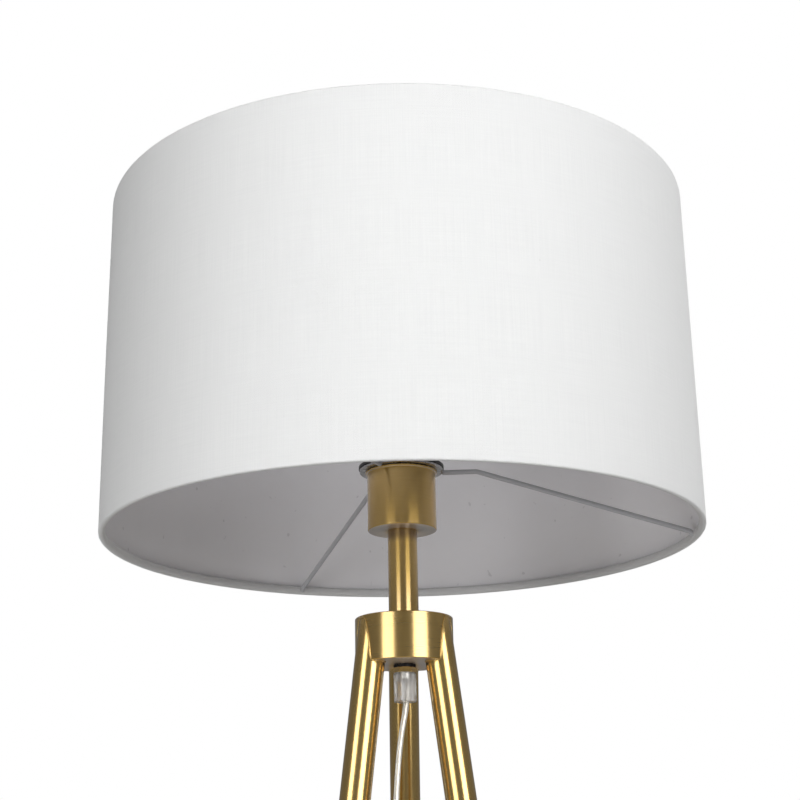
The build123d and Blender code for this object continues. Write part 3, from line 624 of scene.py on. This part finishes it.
holder_black = moulding("holder_black", (0.012, 0.012, 0.012), (0.028, 0.028, 0.029), 0.3)
dress(holder_black, "holder_cap", "ring_nut")
holder_profile = [(0, HOLDER_LOW), (HOLDER_RADIUS - 0.5, HOLDER_LOW), (HOLDER_RADIUS, HOLDER_LOW + 0.5)]
for ridge in range(int((HOLDER_HIGH - CUP_HIGH - 1.5) / THREAD_PITCH)):
    crest = CUP_HIGH + 1.0 + THREAD_PITCH * ridge
    root = HOLDER_RADIUS - THREAD_DEPTH
    holder_profile += [(HOLDER_RADIUS, crest), (HOLDER_RADIUS, crest + 0.5), (root, crest + 1.0),
                       (root, crest + 1.4)]
holder_profile += [(HOLDER_RADIUS - 0.8, HOLDER_HIGH), (HOLDER_BORE_RADIUS + 0.4, HOLDER_HIGH),
                   (HOLDER_BORE_RADIUS, HOLDER_HIGH - 0.4), (HOLDER_BORE_RADIUS, HOLDER_LOW + HOLDER_FLOOR),
                   (0, HOLDER_LOW + HOLDER_FLOOR)]
threaded_holder = mesh_of(spun(holder_profile, 96, closed=False), "threaded_holder")
piece("threaded_holder", threaded_holder, "stand", holder_black, ["holder_body"])
shell_metal, wire = new_finish("shell_aluminium", {"Metallic": 1.0})
rings = grain(wire, (4, 4, 0.3))
feed(shell_metal, colour=shades(wire, rings, (0.7, 0.7, 0.71), (0.86, 0.86, 0.86)),
     roughness=0.22 + 0.2 * rings, bump=bump(wire, rings, 0.02))
dress(shell_metal, "screw_shell", "bulb_shell")

# Bulb: a white plastic housing and a milky globe on a screw base, with a round board of diodes inside.
# It is screwed down into the lampholder, and the shade hides it from below.
dress(turned_brass, "bulb_tip")
dress(holder_black, "bulb_insulator")
housing_white = moulding("housing_white", (0.72, 0.72, 0.7), (0.82, 0.82, 0.8), 0.32)
dress(housing_white, "bulb_housing")
milky, wire = new_finish("milky_globe", {"IOR": 1.5, "Subsurface Weight": 0.35, "Subsurface Scale": 0.004})
mist = grain(wire, (12, 12, 12))
feed(milky, colour=shades(wire, mist, (0.8, 0.8, 0.78), (0.86, 0.86, 0.85)), roughness=0.2 + 0.1 * mist)
dress(milky, "bulb_globe")
board, wire = new_finish("led_board", {"IOR": 1.5})
tracks = grain(wire, (2, 2, 2), detail=0.0)
feed(board, colour=shades(wire, tracks, (0.6, 0.61, 0.6), (0.85, 0.85, 0.83)), roughness=0.3 + 0.2 * tracks)
dress(board, "led_board")

# Shade: white linen laminated on a stiff white liner and rolled round a wire hoop at each edge. Three
# painted wire spokes join the lower hoop to a flat steel ring, which sits on the cup's lip.
SHADE_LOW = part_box("hem_bottom")[0].z / MM
SHADE_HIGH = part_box("hem_top")[1].z / MM
SHADE_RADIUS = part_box("shade_fabric")[1].x / MM
LINEN = 0.6
LINER = 0.5
LINER_SHORT = 1.6
THREAD_PITCH_IN_LINEN = 0.58
LAP_BEARING = 88.2
LAP_WIDTH = 12.0
LAP_PROUD = 0.35
LAP_SHORT = 0.9
SHADE_STEPS = 480


def linen(name):
    """Plain-woven linen. The threads run round the drum and up it, and some are thicker than others."""
    finish, wire = new_finish(name, {"Specular IOR Level": 0.25, "Sheen Weight": 0.12,
                                     "Sheen Roughness": 0.5})
    x = wire.node("SeparateXYZ", None, {0: wire.node("TexCoord", output=OWN_PLACE)})
    y = x.output(1)
    girth = wire.math("ARCTAN2", y, x) * SHADE_RADIUS
    height = x.output(2) * (1 / MM)

    def blobs(round_drum, up_drum, layer, detail):
        """Noise whose blobs are so many millimetres long round the drum and up it."""
        turns = girth * (1 / round_drum)
        place = wire.node("CombineXYZ", None, {0: turns, 1: height * (1 / up_drum), 2: layer})
        return wire.node("TexNoise", None, {"Scale": 1.0, "Detail": detail, "Vector": place})

    tone = 0.6 * blobs(0.7, 55, 3.0, 2.0) + 0.4 * blobs(40, 0.8, 7.0, 2.0)
    turn = 2 * math.pi / THREAD_PITCH_IN_LINEN
    weave = wire.math("SINE", girth * turn) * wire.math("SINE", height * turn)
    slubs = wire.node("MapRange", None, {0: tone, 1: 0.3, 2: 0.7})
    colour = shades(wire, slubs, (0.84, 0.845, 0.845), (0.89, 0.895, 0.89))
    flecks = fade(wire, blobs(3.2, 3.2, 11.0, 1.0), 0.80, 0.90, 0.5)
    colour = shades(wire, flecks, colour, (0.4, 0.38, 0.36))
    # Painted shade: the linen turned in round the hem, inside the drum, is painted darker.
    from_axis = wire.math("SQRT", x * x + y * y)
    painted_hem_shade = fade(wire, from_axis, (SHADE_RADIUS - 1.2) * MM, (SHADE_RADIUS - 3.2) * MM, 0.45)
    colour = shades(wire, painted_hem_shade, colour, (0.5, 0.49, 0.49))
    relief = 0.45 * weave + 0.6 * tone
    feed(finish, colour=colour, roughness=0.78 + 0.12 * tone, bump=bump(wire, relief, 0.16))
    return finish


HEM_PROFILE = [
    (0.85, 6.3), (1.6, 6.0), (2.8, 5.5), (3.5, 5.0), (3.8, 4.3), (3.9, 3.2), (3.95, 2.2), (3.75, 1.2),
    (3.05, 0.5), (2.1, 0.3), (0.9, 0.3), (0.35, 0.42), (0.08, 0.8), (0.0, 1.4),
]


def half_hem(edge, inward):
    """The rolled edge, from its glued flap inside the drum, round the wire, to the outer wall."""
    outer = SHADE_RADIUS - LINEN / 2
    return [(outer - sink, edge + inward * rise) for sink, rise in HEM_PROFILE]


WALL_ROWS = 14
low_hem = half_hem(SHADE_LOW, 1)
high_hem = half_hem(SHADE_HIGH, -1)[::-1]
wall_low = low_hem[-1][1]
wall_high = high_hem[0][1]
wall = [(SHADE_RADIUS - LINEN / 2, wall_low + (wall_high - wall_low) * (i + 1) / (WALL_ROWS + 1))
        for i in range(WALL_ROWS)]
cover = spun(low_hem + wall + high_hem, SHADE_STEPS, closed=False)
for v in cover.verts:
    round_drum = Vector((v.co.x, v.co.y, 0)).normalized()
    edge = min(v.co.z / MM - SHADE_LOW, SHADE_HIGH - v.co.z / MM)
    pucker = 0.16 * noise.noise(v.co * 95) * math.exp(-edge / 6)
    wave = 0.22 * noise.noise(v.co * 9)
    v.co += round_drum * (pucker + wave - 0.1) * MM
white_linen = linen("white_linen")
shade_cover = piece("shade_cover", mesh_of(cover, "shade_cover"), "shade", white_linen,
                    ["shade_fabric", "hem_bottom", "hem_top"])
thick = shade_cover.modifiers.new("linen", "SOLIDIFY")
thick.thickness = LINEN * MM
thick.offset = 0.0

liner_outside = SHADE_RADIUS - LINEN
liner_inside = liner_outside - LINER
liner_low = SHADE_LOW + LINER_SHORT
liner_high = SHADE_HIGH - LINER_SHORT
liner = spun([(liner_outside, liner_low), (liner_inside, liner_low), (liner_inside, liner_high),
              (liner_outside, liner_high)], 256, closed=True)
liner_white, wire = new_finish("liner_white", {"IOR": 1.45})
satin = grain(wire, (30, 30, 30), detail=4.0)
fine_matt = grain(wire, (0.7, 0.7, 0.7))
spots = fade(wire, grain(wire, (5, 5, 5), place=(0.013, 0, 0), detail=0.0), 0.80, 0.86, 0.25)
plain_liner = shades(wire, satin, (0.84, 0.826, 0.85), (0.88, 0.868, 0.89))
feed(liner_white, colour=shades(wire, spots, plain_liner, (0.3, 0.29, 0.3)), roughness=0.5 + 0.12 * satin,
     bump=bump(wire, fine_matt, 0.02))
piece("shade_liner_sheet", mesh_of(liner, "shade_liner_sheet"), "shade", liner_white,
      ["shade_liner"])

lap = bmesh.new()
lap_inside = SHADE_RADIUS - 0.1
lap_outside = SHADE_RADIUS + LAP_PROUD
lap_low = SHADE_LOW + LAP_SHORT
lap_high = SHADE_HIGH - LAP_SHORT
lap_section = [(lap_inside, lap_low), (lap_outside, lap_low), (lap_outside, lap_high), (lap_inside, lap_high)]
lap_corners = [lap.verts.new((radius * MM, 0, height * MM)) for radius, height in lap_section]
lap_edges = [lap.edges.new((lap_corners[i], lap_corners[(i + 1) % 4])) for i in range(4)]
lap_face = lap.faces.new(lap_corners)
bmesh.ops.spin(lap, geom=lap_corners + lap_edges + [lap_face], cent=(0, 0, 0), axis=(0, 0, 1),
               angle=LAP_WIDTH / SHADE_RADIUS, steps=6)
bmesh.ops.rotate(lap, verts=lap.verts, cent=(0, 0, 0),
                 matrix=Matrix.Rotation(math.radians(LAP_BEARING) - LAP_WIDTH / SHADE_RADIUS / 2, 3, "Z"))
bmesh.ops.recalc_face_normals(lap, faces=lap.faces)
cover_lap = piece("shade_cover_lap", mesh_of(lap, "shade_cover_lap"), "shade", white_linen)
round_lap = cover_lap.modifiers.new("edge", "BEVEL")
round_lap.width = 0.15 * MM
round_lap.segments = 2

white_paint = moulding("white_paint", (0.40, 0.40, 0.42), (0.50, 0.50, 0.52), 0.3, texture=0.9)
ring_steel, wire = new_finish("ring_steel", {"Metallic": 1.0})
rolled = grain(wire, (6, 6, 6), detail=4.0)
feed(ring_steel, colour=shades(wire, rolled, (0.50, 0.49, 0.49), (0.62, 0.61, 0.61)),
     roughness=0.2 + 0.15 * rolled, bump=bump(wire, rolled, 0.02))
dress(ring_steel, "fitter_ring")
dress(white_paint, "spoke_side", "spoke_back", "spoke_front", "wire_ring_bottom", "wire_ring_top")

WELD_RADIUS = 1.8
WELD_HEIGHT_SHARE = 0.85
SPOKES = {"spoke_side": 0.0, "spoke_back": 112.0, "spoke_front": 238.0}
RING_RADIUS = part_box("fitter_ring")[1].x / MM
SPOKE_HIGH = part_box("spoke_side")[1].z / MM - 1.7
HOOP_RADIUS = 199.1
HOOP_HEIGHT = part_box("wire_ring_bottom")[0].z / MM + 1.5
welds = bmesh.new()
for bearing in SPOKES.values():
    out = Vector((math.cos(math.radians(bearing)), math.sin(math.radians(bearing)), 0))
    for radius, height in ((RING_RADIUS + 0.2, SPOKE_HIGH), (HOOP_RADIUS + 0.3, HOOP_HEIGHT)):
        place = (out * radius + Vector((0, 0, height))) * MM
        blob = bmesh.ops.create_icosphere(welds, subdivisions=3, radius=WELD_RADIUS * MM)
        for v in blob["verts"]:
            v.co *= 1 + 0.22 * noise.noise(v.co * 700 + out * 3)
            v.co.z *= WELD_HEIGHT_SHARE
            v.co += place
piece("spoke_welds", mesh_of(welds, "spoke_welds"), "shade", white_paint)

# Foot switch and plug: black mouldings on the flex. The switch holds a spring, contacts and the screws
# that join its halves, and the plug holds two brass blades.
switch_black = moulding("switch_black", (0.012, 0.012, 0.013), (0.03, 0.03, 0.031), 0.36)
dress(switch_black, "switch_base", "switch_cover", "switch_button", "plug_body")
dress(zinc, "switch_spring", "switch_screws")
dress(turned_brass, "switch_contacts", "plug_blades")
